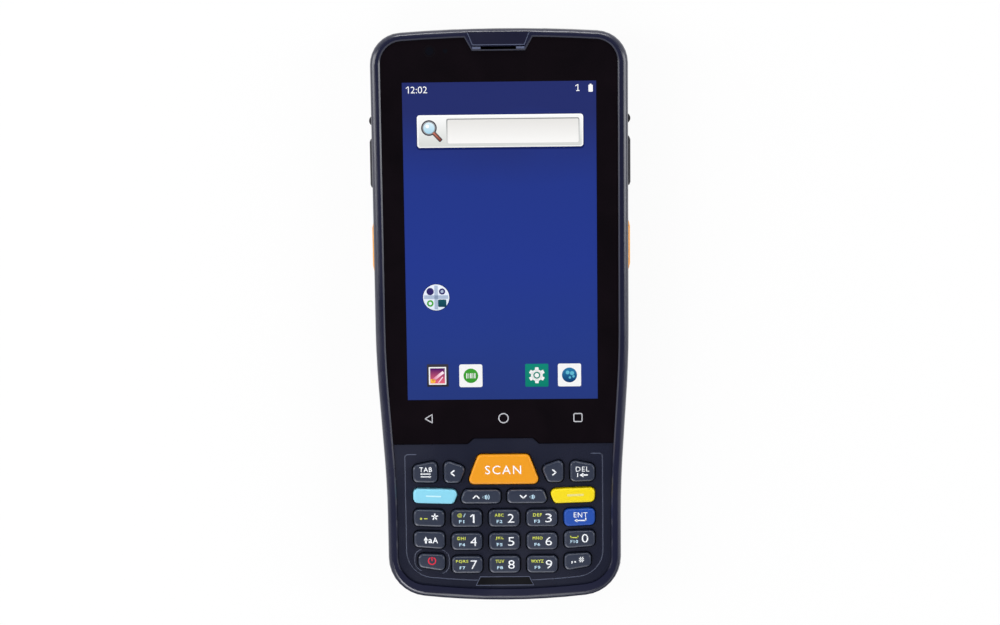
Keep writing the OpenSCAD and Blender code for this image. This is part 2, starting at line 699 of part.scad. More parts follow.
module chassis() color(metal_colour) {
    x = screen_w / 2 + 2.4;
    difference() {
        block(-x, x, screen_y0 - 7.2, screen_y1 + 2.1, chassis_z0, display_z0);
        block(port_x - jack_l - 0.3, x + 1, port_y - jack_w / 2 - 0.3, port_y + jack_w / 2 + 0.3, 0, body_t);
        for (i = [-2 : 2]) block(i * 9 - 2, i * 9 + 2, screen_y0 + 8, screen_y0 + 12, 0, body_t);
    }
    both_sides() for (p = chassis_feet) disc(p.x, p.y, 1.5, board_z1, chassis_z0 + 0.2);
}

module main_board() color(board_colour) difference() {
    x = body_w / 2 - board_side;
    block(-x, x, board_y0, board_y1, board_z0, board_z1);
    at_screws() cylinder(r = boss_r + 0.3, h = body_t);
    block(port_x - jack_l - 0.2, x + 1, port_y - jack_w / 2 - 0.2, port_y + jack_w / 2 + 0.2, 0, body_t);
}

module shield_cans() color(metal_colour) {
    x = body_w / 2 - board_side - 6;
    can_t = 1.6;
    prism(rounded(rectangle(-x, -3, board_y0 + 5, board_y0 + 33), 1), board_z1, board_z1 + can_t);
    prism(rounded(rectangle(2, x, board_y0 + 5, board_y0 + 25), 1), board_z1, board_z1 + can_t);
    prism(rounded(rectangle(-x / 2 - 2, x / 2 - 2, board_y1 - 18, board_y1 - 5), 1), board_z1,
        board_z1 + can_t - 0.3);
}

module earpiece() color(rubber_colour) difference() {
    prism(rounded(rectangle(-slot_x - 1.5, slot_x + 1.5, slot_y - 1.6, slot_y + 2.2), 1.2), ledge_z - 2.2, ledge_z);
    block(-slot_x, slot_x, slot_y - slot_h, slot_y + slot_h, ledge_z - 0.6, ledge_z + 1);
}

// ---- Keypad ----

module keycap(k) color(k[2]) {
    corners = k[1];
    c = middle(corners);
    top = deck_z + key_rise;
    loft(function (d) rounded(corners, key_round, d),
        [[flange_z0 + 0.1, 0], [top - 0.45, 0.12], [top - 0.12, 0.35], [top, 0.8]], c);
    prism(rounded(corners, key_round, -flange_w), flange_z0, flange_z1);
    disc(c.x, c.y, plunger_r, flange_z0 - plunger_l, flange_z1 - 0.2);
}

module keypad_mat() color("#8b8f98") difference() {
    x = keypad_w / 2 + 0.3;
    block(-x, x, keys_y0, scan_y1, film_z1, mat_z1);
    block(-x + 0.8, x - 0.8, keys_y0 + 0.8, scan_y1 - 0.8, film_z1 - 1, mat_z1 - mat_t);
    for (k = keys) disc(middle(k[1]).x, middle(k[1]).y, plunger_r + 0.4, 0, body_t);
    at_screws() cylinder(r = boss_r + 0.3, h = body_t);
}

module dome_sheet() color("#c9ccd2") {
    x = keypad_w / 2 + 0.3;
    difference() {
        block(-x, x, keys_y0, scan_y1, keyboard_z1, film_z1);
        at_screws() cylinder(r = boss_r + 0.3, h = body_t);
    }
    for (k = keys) translate([middle(k[1]).x, middle(k[1]).y, film_z1 - 0.05])
        cylinder(r1 = dome_r, r2 = dome_r - 1, h = dome_h + 0.05);
}

module keypad_board() color(board_colour) difference() {
    x = keypad_w / 2 + 4.5;
    block(-x, x, keys_y0 - 1.2, scan_y1 + 0.5, keyboard_z0, keyboard_z1);
    at_screws() cylinder(r = boss_r + 0.3, h = body_t);
}

// ---- Sides: ports, covers and triggers ----

// Pad that stands out of the side, its four edges drawn back by c over the length d
module pad_form(x0, x1, y, l, z, h, c, d) intersection() {
    translate([0, 0, z - h / 2]) linear_extrude(h)
        polygon([[x0, y - l / 2], [x1 - c, y - l / 2], [x1, y - l / 2 + d], [x1, y + l / 2 - d],
            [x1 - c, y + l / 2], [x0, y + l / 2]]);
    translate([0, y + l, z]) rotate([90, 0, 0]) linear_extrude(2 * l)
        polygon([[x0, -h / 2], [x1 - c, -h / 2], [x1, -h / 2 + d / 2], [x1, h / 2 - d / 2],
            [x1 - c, h / 2], [x0, h / 2]]);
}

module trigger() color(orange) {
    inner_x = body_w / 2 - wall - play;
    pad_form(inner_x - 0.2, body_w / 2 + trigger_rise, trigger_y, trigger_l, port_z, trigger_h, 0.4, 1.6);
    block(inner_x - trigger_flange_t, inner_x, trigger_y - trigger_l / 2 - trigger_flange,
        trigger_y + trigger_l / 2 + trigger_flange, port_z - trigger_h / 2 - trigger_flange,
        port_z + trigger_h / 2 + trigger_flange);
}

module right_trigger() trigger();
module left_trigger() mirror([1, 0, 0]) trigger();

module trigger_switches() color(metal_colour) both_sides() {
    x = body_w / 2 - board_side;
    block(x - 3.4, x + 0.2, trigger_y - 3, trigger_y + 3, board_z1, port_z + 1.7);
    rod_x(x, body_w / 2 - wall - play - trigger_flange_t - trigger_travel - slip, trigger_y, port_z, 0.9);
}

// Pad, neck and knuckle of a port cover on the right
module cover_flap() {
    seat_x = body_w / 2 - cover_seat + slip;
    pad_form(seat_x, body_w / 2 + cover_rise, (cover_y0 + cover_y1) / 2, cover_l, port_z, cover_h, 0.35, 0.8);
    difference() {
        union() {
            block(seat_x, seat_x + 0.6, cover_y1 - 0.5, hinge_y, port_z - cover_h / 2, port_z + cover_h / 2);
            disc(hinge_x, hinge_y, knuckle_r, port_z - cover_h / 2, port_z + cover_h / 2);
        }
        disc(hinge_x, hinge_y, hinge_pin_r + running_fit, 0, body_t);
    }
}

module right_port_cover() color(rubber_colour) {
    cover_flap();
    rod_x(port_x + play, body_w / 2 - cover_seat + 0.5, port_y, port_z, jack_mouth_r - 0.45);
}

module left_port_cover() color(rubber_colour) {
    mirror([1, 0, 0]) cover_flap();
    port_shape(-body_w / 2 + cover_seat - 0.5, -port_x - play, usb_w - 0.6, usb_h - 0.6);
}

module cover_hinge_pins() color(metal_colour)
    both_sides() disc(hinge_x, hinge_y, hinge_pin_r, cover_pin_z0, cover_pin_z1);

module usb_c_receptacle() color(metal_colour) {
    difference() {
        port_shape(-port_x, -port_x + usb_l, usb_w, usb_h);
        port_shape(-port_x - 1, -port_x + usb_l - 0.5, usb_w - 2 * usb_shell, usb_h - 2 * usb_shell);
    }
    block(-port_x + 0.8, -port_x + usb_l - 0.4, port_y - 3.35, port_y + 3.35, port_z - 0.35, port_z + 0.35);
}

module headset_jack() color(rubber_colour) difference() {
    block(port_x - jack_l, port_x, port_y - jack_w / 2, port_y + jack_w / 2,
        port_z - jack_h / 2, port_z + jack_h / 2);
    rod_x(port_x - jack_depth, port_x + 1, port_y, port_z, jack_r);
}

// ---- Battery, door and latch ----

module battery_pack() color("#3a3d45") difference() {
    prism(rounded(rectangle(-battery_w / 2, battery_w / 2, battery_y0, battery_y0 + battery_l), 2.5),
        battery_z0, battery_z1);
    block(-12, 12, battery_y0 - 1, battery_y0 + 2, battery_z0 - 1, battery_z0 + 1.2);
}

module battery_contacts() color("#c9a44a") {
    block(-contacts_w / 2, contacts_w / 2, contacts_y - 2.6, contacts_y + 2.6, battery_z1 + 0.5, board_z0);
    for (i = [-1.5 : 1.5]) disc(i * 2.4, contacts_y, 0.5, battery_z1, battery_z1 + 0.6);
}

module battery_door() color(housing_colour) difference() {
    union() {
        door_plate(0, 0, door_t);
        rod_x(-door_x, door_x, door_hinge_y, door_barrel_r, door_barrel_r);
    }
    rod_x(-door_x - 1, door_x + 1, door_hinge_y, door_barrel_r, door_pin_r + running_fit);
    block(-latch_w / 2 - 0.15, latch_w / 2 + 0.15, latch_y0 - 0.2, latch_y0 + latch_l + latch_travel + 0.2,
        -1, latch_t + slip);
    block(-tongue_w / 2 - 0.15, tongue_w / 2 + 0.15, door_y0 - 1, latch_y0, -1, latch_t + slip);
}

module door_hinge_pin() color(metal_colour)
    rod_x(-door_x - 2, door_x + 2, door_hinge_y, door_barrel_r, door_pin_r);

module door_latch() color(rubber_colour) {
    z0 = latch_t - tongue_t;
    block(-latch_w / 2, latch_w / 2, latch_y0, latch_y0 + latch_l, z0, latch_t);
    block(-tongue_w / 2, tongue_w / 2, latch_y0 - tongue_l, latch_y0 + 0.1, z0, latch_t);
    for (i = [0 : 2]) block(-latch_w / 2 + 1.5, latch_w / 2 - 1.5, latch_y0 + 1 + 1.4 * i,
        latch_y0 + 1.6 + 1.4 * i, 0.05, z0 + 0.1);
}

// ---- Scan engine, sound and contacts ----

module scan_engine() color(rubber_colour) {
    y1 = engine_y1 - 1;
    difference() {
        block(-engine_w / 2, engine_w / 2, engine_y1 - engine_l, y1, engine_z0, engine_z0 + engine_h);
        rod_y(-4.6, y1 - 2, y1 + 1, window_z, 2.2);
        block(1.5, 8.5, y1 - 1, y1 + 1, window_z - 2.4, window_z + 2.4);
    }
    difference() {
        rod_y(-4.6, y1 - 2.2, engine_y1, window_z, 3);
        rod_y(-4.6, y1 - 2, engine_y1 + 1, window_z, 2.2);
    }
    for (i = [0 : 1]) rod_y(3.4 + 3.2 * i, y1 - 1.2, y1 - 0.2, window_z, 1.2);
}

module scan_window() color("#3a0d12")
    block(-window_w / 2, window_w / 2, window_y, window_y + window_t, window_z - window_h / 2,
        window_z + window_h / 2);

module loudspeaker() color(rubber_colour) difference() {
    prism(rounded(rectangle(-10, 10, speaker_y - 8, speaker_y + 8), 2), floor_t, floor_t + 4.5);
    prism(rounded(rectangle(-7.5, 7.5, speaker_y - 5.5, speaker_y + 5.5), 2.5), 0, floor_t + 0.8);
}

module vibration_motor() color(metal_colour) {
    motor_r = 5;
    x = -body_w / 2 + back_edge_w + motor_r + 2.7;
    disc(x, speaker_y, motor_r, floor_t, floor_t + 2.6);
    disc(x, speaker_y, motor_r - 1.8, floor_t + 2.5, floor_t + 3.2);
}

module charging_contacts() color("#c9a44a") for (i = [0 : contact_n - 1])
    rod_y(-contacts_x + i * contact_pitch, -end_y + 0.35, -end_y + wall + 0.8, contact_z, contact_r);

front_housing();
rear_housing();
keypad_bezel();
touch_glass();
glass_gasket();
display_module();
chassis();
main_board();
shield_cans();
battery_pack();
battery_contacts();
scan_engine();
scan_window();
earpiece();
top_plate();
lower_plate();
loudspeaker();
vibration_motor();
keypad_mat();
dome_sheet();
keypad_board();
trigger_switches();
usb_c_receptacle();
headset_jack();
cover_hinge_pins();
door_hinge_pin();
housing_screws();
charging_contacts();
housing_seal();
left_port_cover();
right_port_cover();
battery_door();
door_latch();
left_trigger();
right_trigger();
for (k = keys) keycap(k);
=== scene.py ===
# Dresses the data terminal: moulded housings, printed keys, a lit display and the parts behind the covers.
import json
from math import atan2, cos, pi, radians, sin

import bmesh
import bpy
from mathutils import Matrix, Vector


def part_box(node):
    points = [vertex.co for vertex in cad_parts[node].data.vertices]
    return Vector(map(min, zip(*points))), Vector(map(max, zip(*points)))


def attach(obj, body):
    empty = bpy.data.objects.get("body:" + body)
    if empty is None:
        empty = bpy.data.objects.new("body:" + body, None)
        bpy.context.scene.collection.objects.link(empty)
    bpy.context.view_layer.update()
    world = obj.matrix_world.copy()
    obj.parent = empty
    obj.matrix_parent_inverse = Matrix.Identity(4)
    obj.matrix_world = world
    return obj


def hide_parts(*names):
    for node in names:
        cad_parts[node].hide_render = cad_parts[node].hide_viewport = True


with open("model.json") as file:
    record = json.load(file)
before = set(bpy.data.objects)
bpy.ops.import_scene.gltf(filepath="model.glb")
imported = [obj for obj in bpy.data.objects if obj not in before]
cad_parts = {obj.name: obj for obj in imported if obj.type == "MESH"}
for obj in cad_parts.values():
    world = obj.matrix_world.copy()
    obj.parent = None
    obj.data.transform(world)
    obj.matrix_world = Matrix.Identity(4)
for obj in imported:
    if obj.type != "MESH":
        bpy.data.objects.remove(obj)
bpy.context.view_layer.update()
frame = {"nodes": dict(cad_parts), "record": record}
nodes = frame["nodes"]
record = frame["record"]
bodyOfNode = {n: body for body, members in record["behaviour"]["bodies"].items() for n in members}
slotOfNode = {s["node"]: s["material_slot"] for s in record["subparts"]}
mm = 0.001
pictureDrop = 45.2  # mm, from the top end of the display module down to the middle of the picture
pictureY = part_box("display_module")[1].y / mm - pictureDrop
rimTop, deckTop, glassTop, keyTop = [
    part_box(name)[1].z / mm for name in ("front_housing", "keypad_bezel", "touch_glass", "key_scan")]
print("frame loaded,", len(nodes), "nodes")


# Selecting, and putting a finished piece in its place

def deselectAll():
    if bpy.context.object and bpy.context.object.mode != "OBJECT":
        bpy.ops.object.mode_set(mode="OBJECT")
    bpy.ops.object.select_all(action="DESELECT")


def takeUp(*pieces):
    deselectAll()
    for piece in pieces:
        piece.select_set(True)
    bpy.context.view_layer.objects.active = pieces[0]


def openMesh(piece):  # edit mode, with all of the piece selected
    takeUp(piece)
    bpy.ops.object.mode_set(mode="EDIT")
    bpy.ops.mesh.select_all(action="SELECT")


def closeMesh():
    bpy.ops.object.mode_set(mode="OBJECT")


def shapeEdges(piece, test, shape):  # picks edges by place or normal, and runs an operator on them
    takeUp(piece)
    bpy.ops.object.mode_set(mode="EDIT")
    bpy.ops.mesh.select_mode(type="EDGE")
    bpy.ops.mesh.select_all(action="DESELECT")
    form = bmesh.from_edit_mesh(piece.data)
    for edge in form.edges:
        edge.select = test(edge)
    form.select_flush_mode()
    bmesh.update_edit_mesh(piece.data)
    shape()
    closeMesh()


def paintFaces(piece, material, test):  # another finish on the faces that pass the test
    piece.data.materials.append(material)
    for face in piece.data.polygons:
        if test(face):
            face.material_index = len(piece.data.materials) - 1


def settle(piece, name, body):
    takeUp(piece)
    bpy.ops.object.transform_apply(location=True, rotation=True, scale=True)
    piece.name = name
    piece.data.name = name
    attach(piece, body)
    return piece


def joined(parts):
    takeUp(*parts)
    if len(parts) > 1:
        bpy.ops.object.join()
    return bpy.context.object


# Camera, light and floor

# Place in mm from the picture's middle, turn in degrees
camera = {"lens": 72, "place": (11.16, 60.46, 555.39), "turn": (-8.461, 1.135, -0.701)}
bpy.ops.object.camera_add(rotation=[radians(v) for v in camera["turn"]], location=(
    camera["place"][0] * mm, (camera["place"][1] + pictureY) * mm, camera["place"][2] * mm))
bpy.context.object.data.lens = camera["lens"]
bpy.context.object.data.sensor_width = 36
bpy.context.object.data.clip_start = 0.01
bpy.context.scene.camera = bpy.context.object
bpy.context.scene.view_settings.view_transform = "Standard"


def hexColour(code):
    channels = [int(code[i:i + 2], 16) / 255 for i in (1, 3, 5)]
    return tuple(c / 12.92 if c <= 0.04045 else ((c + 0.055) / 1.055) ** 2.4 for c in channels) + (1.0,)


def addNode(tree, kind, settings=None, links=None):
    node = tree.nodes.new("ShaderNode" + kind)
    for key, value in (settings or {}).items():
        if isinstance(key, int) or key in node.inputs:
            node.inputs[key].default_value = value
        else:
            setattr(node, key, value)
    for key, source in (links or {}).items():
        tree.links.new(source, node.inputs[key])
    return node


def newMaterial(name):
    material = bpy.data.materials.new(name)
    material.use_nodes = True
    material.node_tree.nodes.clear()
    return material, material.node_tree


def closeMaterial(tree, shader):
    addNode(tree, "OutputMaterial", links={"Surface": shader.outputs[0]})


floorLook = {"size": 6.0, "colour": "#f4f4f4", "white": 0.93}
bpy.ops.mesh.primitive_plane_add(size=floorLook["size"], location=(0, 0, -0.02 * mm))
floor = bpy.context.object
floor.name = "floor"
paper, tree = newMaterial("studio_paper")
eye = addNode(tree, "LightPath")
seen = addNode(tree, "Math", {"operation": "MAXIMUM"},
               {0: eye.outputs["Is Camera Ray"], 1: eye.outputs["Is Glossy Ray"]})
seen = addNode(tree, "Math", {"operation": "MAXIMUM"},
               {0: seen.outputs[0], 1: eye.outputs["Is Transmission Ray"]})
share = addNode(tree, "Math", {"operation": "MULTIPLY", 1: floorLook["white"]}, {0: seen.outputs[0]})
matt = addNode(tree, "BsdfDiffuse", {"Color": hexColour(floorLook["colour"])})
white = addNode(tree, "Emission", {"Color": (1, 1, 1, 1), "Strength": 1.0})
closeMaterial(tree, addNode(tree, "MixShader",
                            links={0: share.outputs[0], 1: matt.outputs[0], 2: white.outputs[0]}))
floor.data.materials.append(paper)

studio = {"walls": 0.95, "ceiling": 0.06, "from": 0.3, "to": 0.75}  # brightness by height, 1 being overhead
world = bpy.data.worlds.new("studio")
bpy.context.scene.world = world
world.use_nodes = True
world.node_tree.nodes.clear()
room = world.node_tree
height = addNode(room, "SeparateXYZ", links={0: addNode(room, "TexCoord").outputs["Generated"]})
level = addNode(room, "MapRange", {"From Min": studio["from"], "From Max": studio["to"],
                                   "To Min": studio["walls"], "To Max": studio["ceiling"]},
                {"Value": height.outputs["Z"]})
sky = addNode(room, "Background", {"Color": (0.95, 0.97, 1.0, 1)}, {"Strength": level.outputs[0]})
whiteSky = addNode(room, "Background", {"Color": (1, 1, 1, 1), "Strength": 1.0})
eye = addNode(room, "LightPath")
mixedSky = addNode(room, "MixShader",
                   links={0: eye.outputs["Is Camera Ray"], 1: sky.outputs[0], 2: whiteSky.outputs[0]})
addNode(room, "OutputWorld", links={"Surface": mixedSky.outputs[0]})

card = {"size": (1.2, 0.5), "y": -0.345}  # metres; darkens what the steep faces of the lower end mirror
bpy.ops.mesh.primitive_plane_add(size=1, location=(0, card["y"], -0.01 * mm))
darkCard = bpy.context.object
darkCard.name = "dark_card"
darkCard.scale = (card["size"][0], card["size"][1], 1)
darkCard.visible_camera = False
darkCard.visible_shadow = False
darkCard.visible_diffuse = False
felt, tree = newMaterial("black_felt")
closeMaterial(tree, addNode(tree, "BsdfDiffuse", {"Color": hexColour("#0a0a0c")}))
darkCard.data.materials.append(felt)

lamps = {  # place and size in metres, power in watts; each looks at the middle of the terminal
    "left_softbox": {"place": (-0.8, 0.15, 0.5), "size": (0.4, 0.9), "power": 5.8},
    "right_softbox": {"place": (0.85, 0.1, 0.45), "size": (0.4, 0.9), "power": 4.8},
    "top_softbox": {"place": (0.1, 1.1, 0.28), "size": (0.9, 0.2), "power": 6.2},
    "low_softbox": {"place": (-0.28, -0.73, 0.74), "size": (0.9, 0.45), "power": 4.1},
    "corner_softbox": {"place": (-0.37, -0.74, 0.7), "size": (0.35, 0.5), "power": 2.8, "sheenOnly": True},
}
for name, lamp in lamps.items():
    bpy.ops.object.light_add(type="AREA", location=lamp["place"])
    light = bpy.context.object
    light.name = name
    light.data.shape = "RECTANGLE"
    light.data.size, light.data.size_y = lamp["size"]
    light.data.energy = lamp["power"]
    if lamp.get("sheenOnly"):  # seen in the gloss alone, a little violet
        light.visible_diffuse = False
        light.data.color = (0.92, 0.9, 1.0)
    light.rotation_euler = (-Vector(lamp["place"])).to_track_quat("-Z", "Y").to_euler()
print("camera, floor and", len(lamps), "lamps made")


# Materials

# Sizes of the finishes' patterns in mm
patterns = {"cloud": 22, "film": 0.6, "smear": 14, "brushing": 0.2, "tracks": 2.4, "filterSmear": 5}


def twoTone(tree, low, high, mask):  # from one colour to the other by a pattern
    return addNode(tree, "Mix", {"data_type": "RGBA", 6: hexColour(low), 7: hexColour(high)}, {0: mask})


def mouldedPlastic(name, look):
    # Polycarbonate moulded in a spark-eroded tool: an even fine grain that spreads the highlights.
    # The real grain is about 0.1 mm, which is too fine to show, so it is drawn at look["grain"] mm.
    # Two of its looks, the lighter slate lines, are not the plastic's colour but painted highlights.
    material, tree = newMaterial(name)
    place = addNode(tree, "TexCoord").outputs["Object"]
    grain = addNode(tree, "TexNoise", {"Scale": 1 / (look["grain"] * mm), "Detail": 3, "Roughness": 0.6},
                    {"Vector": place})
    cloud = addNode(tree, "TexNoise", {"Scale": 1 / (patterns["cloud"] * mm), "Detail": 2}, {"Vector": place})
    colour = twoTone(tree, look["colour"], look["pale"], cloud.outputs["Fac"])
    rough = addNode(tree, "MapRange", {"From Min": 0.3, "From Max": 0.7, "To Min": look["rough"] - 0.04,
                                       "To Max": look["rough"] + 0.06}, {"Value": cloud.outputs["Fac"]})
    bump = addNode(tree, "Bump", {"Strength": look["bump"], "Distance": 0.02 * mm},
                   {"Height": grain.outputs["Fac"]})
    gloss = {"IOR": 1.58, "Specular IOR Level": look.get("gloss", 0.5)}
    closeMaterial(tree, addNode(tree, "BsdfPrincipled", gloss,
                                {"Base Color": colour.outputs[2], "Roughness": rough.outputs[0],
                                 "Normal": bump.outputs[0]}))
    return material


def printedInk(name, look):
    # Screen-printed ink: an even matt film whose cover varies a little.
    material, tree = newMaterial(name)
    place = addNode(tree, "TexCoord").outputs["Object"]
    film = addNode(tree, "TexNoise", {"Scale": 1 / (patterns["film"] * mm), "Detail": 2}, {"Vector": place})
    colour = twoTone(tree, look["colour"], look["thin"], film.outputs["Fac"])
    closeMaterial(tree, addNode(tree, "BsdfPrincipled", {"Roughness": 0.5, "Specular IOR Level": 0.3},
                                {"Base Color": colour.outputs[2]}))
    return material


def coatedGlass(name, look):
    # Aluminosilicate cover glass, polished, with black enamel printed behind it and an antireflection coat.
    # Faint smears change its gloss; its reflections are weak and sharp.
    material, tree = newMaterial(name)
    place = addNode(tree, "TexCoord").outputs["Object"]
    smear = addNode(tree, "TexNoise", {"Scale": 1 / (patterns["smear"] * mm), "Detail": 4, "Distortion": 0.8},
                    {"Vector": place})
    colour = twoTone(tree, look["colour"], look["pale"], smear.outputs["Fac"])
    rough = addNode(tree, "MapRange", {"From Min": 0.35, "From Max": 0.75, "To Min": 0.04, "To Max": 0.12},
                    {"Value": smear.outputs["Fac"]})
    closeMaterial(tree, addNode(tree, "BsdfPrincipled", {"IOR": 1.51, "Specular IOR Level": look["gloss"]},
                                {"Base Color": colour.outputs[2], "Roughness": rough.outputs[0]}))
    return material


def litPicture(name, look):
    # Liquid-crystal picture behind glass: it shines by itself, evenly, with the glass's weak gloss over it.
    # The colours run over the display in bands that are blended into each other, and a cloud shifts them.
    # Half of each colour is the panel's own and half is light, so that it reads the same in a bright room.
    material, tree = newMaterial(name)
    place = addNode(tree, "TexCoord").outputs["Object"]
    start = (-look["start"][0] * mm, -(look["start"][1] + pictureY) * mm, 0)
    moved = addNode(tree, "Mapping", {"Location": start}, {"Vector": place})
    split = addNode(tree, "SeparateXYZ", links={"Vector": moved.outputs[0]})
    cloud = addNode(tree, "TexNoise", {"Scale": 1 / (look["cloud"] * mm), "Detail": 2}, {"Vector": place})
    span = addNode(tree, "MapRange", {"From Min": 0.0, "From Max": look["length"] * mm},
                   {"Value": split.outputs[look.get("along", 1)]})
    shift = addNode(tree, "Math", {"operation": "MULTIPLY_ADD", 1: look["drift"]},
                    {0: cloud.outputs["Fac"], 2: span.outputs[0]})
    bands = addNode(tree, "ValToRGB", links={"Fac": shift.outputs[0]})
    ramp = bands.color_ramp
    for i, (at, code) in enumerate(look["bands"]):
        stop = ramp.elements[i] if i < 2 else ramp.elements.new(at)
        stop.position = at
        stop.color = hexColour(code)
    own = addNode(tree, "Mix", {"data_type": "RGBA", 0: 0.5, 7: (0, 0, 0, 1)}, {6: bands.outputs["Color"]})
    closeMaterial(tree, addNode(tree, "BsdfPrincipled", {"Roughness": 0.1, "Specular IOR Level": 0.1,
                                                         "Emission Strength": 0.5},
                                {"Base Color": own.outputs[2], "Emission Color": bands.outputs["Color"]}))
    return material


def rolledMetal(name, look):
    # Stainless or plated sheet, brushed along one way: long fine scratches, patterns["brushing"] mm apart.
    material, tree = newMaterial(name)
    place = addNode(tree, "TexCoord").outputs["Object"]
    drawn = addNode(tree, "Mapping", {"Scale": look["stretch"]}, {"Vector": place})
    lines = addNode(tree, "TexNoise", {"Scale": 1 / (patterns["brushing"] * mm), "Detail": 3},
                    {"Vector": drawn.outputs[0]})
    colour = twoTone(tree, look["colour"], look["pale"], lines.outputs["Fac"])
    rough = addNode(tree, "MapRange", {"To Min": look["rough"] - 0.06, "To Max": look["rough"] + 0.1},
                    {"Value": lines.outputs["Fac"]})
    bump = addNode(tree, "Bump", {"Strength": 0.25, "Distance": 0.01 * mm}, {"Height": lines.outputs["Fac"]})
    closeMaterial(tree, addNode(tree, "BsdfPrincipled", {"Metallic": 1.0},
                                {"Base Color": colour.outputs[2], "Roughness": rough.outputs[0],
                                 "Normal": bump.outputs[0]}))
    return material


def solderMask(name):
    # Epoxy board under a green mask: copper lines show through as a paler green.
    material, tree = newMaterial(name)
    place = addNode(tree, "TexCoord").outputs["Object"]
    tracks = addNode(tree, "TexBrick", {"Scale": 1 / (patterns["tracks"] * mm), "Mortar Size": 0.07,
                                        "Brick Width": 1.6, "Row Height": 0.5, "Color1": hexColour("#17603a"),
                                        "Color2": hexColour("#1b6b42"), "Mortar": hexColour("#2f8a58")},
                     {"Vector": place})
    bump = addNode(tree, "Bump", {"Strength": 0.4, "Distance": 0.03 * mm}, {"Height": tracks.outputs["Fac"]})
    closeMaterial(tree, addNode(tree, "BsdfPrincipled", {"Roughness": 0.3},
                                {"Base Color": tracks.outputs["Color"], "Normal": bump.outputs[0]}))
    return material


def filterGlass(name):
    # Dyed acrylic that lets the aiming light out: dark red, clear and glossy.
    material, tree = newMaterial(name)
    place = addNode(tree, "TexCoord").outputs["Object"]
    smear = addNode(tree, "TexNoise", {"Scale": 1 / (patterns["filterSmear"] * mm), "Detail": 3},
                    {"Vector": place})
    rough = addNode(tree, "MapRange", {"To Min": 0.03, "To Max": 0.1}, {"Value": smear.outputs["Fac"]})
    colour = twoTone(tree, "#5c0f16", "#74161f", smear.outputs["Fac"])
    closeMaterial(tree, addNode(tree, "BsdfPrincipled", {"IOR": 1.49, "Transmission Weight": 0.75},
                                {"Base Color": colour.outputs[2], "Roughness": rough.outputs[0]}))
    return material


brightKey = {"grain": 0.35, "rough": 0.42, "bump": 0.15, "gloss": 0.3}  # shared by the four bright colours
softFeel = {"grain": 0.5, "gloss": 0.3}  # shared by the rubber and the silicone
plastics = {  # grain in mm
    "housing": {"colour": "#191b30", "pale": "#1d1f36", "grain": 0.45, "rough": 0.22, "bump": 0.2},
    "plate_face": {"colour": "#12132a", "pale": "#15162e", "grain": 0.45, "rough": 0.3, "bump": 0.1},
    "deck": {"colour": "#161929", "pale": "#1a1d30", "grain": 0.4, "rough": 0.24, "bump": 0.2},
    "key_slate": {"colour": "#2a3041", "pale": "#2f3546", "grain": 0.35, "rough": 0.28, "bump": 0.12},
    "key_cyan_plastic": {"colour": "#82cde5", "pale": "#8dd4ea", **brightKey},
    "key_yellow_plastic": {"colour": "#ecd200", "pale": "#efd708", **brightKey},
    "key_blue_plastic": {"colour": "#13449e", "pale": "#184caa", **brightKey},
    "trigger_orange": {"colour": "#e6940a", "pale": "#ea9a12", **brightKey},
    "black_plate": {"colour": "#0b0b0f", "pale": "#0f0f14", "grain": 0.5, "rough": 0.18, "bump": 0.05},
    "rubber": {"colour": "#26252c", "pale": "#2c2b33", "rough": 0.68, "bump": 0.5, **softFeel},
    "silicone": {"colour": "#14151c", "pale": "#1a1b23", "rough": 0.6, "bump": 0.2, **softFeel},
    "film": {"colour": "#c4c8d0", "pale": "#cdd1d8", "grain": 0.5, "rough": 0.3, "bump": 0.1},
    "battery_wrap": {"colour": "#33363f", "pale": "#3a3d47", "grain": 0.8, "rough": 0.5, "bump": 0.2},
    "black_moulding": {"colour": "#1b1b1e", "pale": "#202023", "grain": 0.4, "rough": 0.5, "bump": 0.3},
    # edge is not a colour the plastic has: it is a lighter slate painted on the rim's chamfer, the plates'
    # borders and the tab's bars as a painted highlight
    "edge": {"colour": "#545b74", "pale": "#5c637c", "grain": 0.4, "rough": 0.35, "bump": 0.1},
    # a lighter slate painted in the deck's fine groove: a painted highlight for the light its wall catches
    "deck_line": {"colour": "#666d86", "pale": "#6e758e", "grain": 0.4, "rough": 0.4, "bump": 0.1},
}
finishes = {name: mouldedPlastic("moulded_" + name, look) for name, look in plastics.items()}
finishes["cover_glass"] = coatedGlass("coated_cover_glass", {"colour": "#0a080b", "pale": "#150f14",
                                                             "gloss": 0.1})
finishes["display"] = coatedGlass("display_glass", {"colour": "#0c0c12", "pale": "#0f1017", "gloss": 0.15})
finishes["steel"] = rolledMetal("brushed_steel", {"colour": "#b4b6ba", "pale": "#c8cacd", "rough": 0.32,
                                                  "stretch": (0.04, 1, 1)})
finishes["gold"] = rolledMetal("gold_plating", {"colour": "#d3a950", "pale": "#e2bb68", "rough": 0.22,
                                                "stretch": (1, 0.1, 1)})
finishes["circuit_board"] = solderMask("solder_mask")
finishes["red_window"] = filterGlass("filter_acrylic")
inks = {
    "white": {"colour": "#fafcff", "thin": "#eef1f5"},
    "green": {"colour": "#cdd453", "thin": "#c0c74a"},
    "ice": {"colour": "#bcd9ea", "thin": "#aecde1"},
    "red": {"colour": "#dd2640", "thin": "#cb203a"},
    "palecyan": {"colour": "#c9eef8", "thin": "#bde8f4"},
    "cream": {"colour": "#e4d98c", "thin": "#dfd27c"},
    "grey": {"colour": "#c6c6cc", "thin": "#bababf"},
}
inks = {name: printedInk(name + "_printed_ink", look) for name, look in inks.items()}

for name, node in nodes.items():
    node.data.materials.clear()
    node.data.materials.append(finishes[slotOfNode[name]])
print(len(finishes) + len(inks), "materials made")


# Housings, deck, keys and covers: the moulded shapes, cleaned and with their edges softened

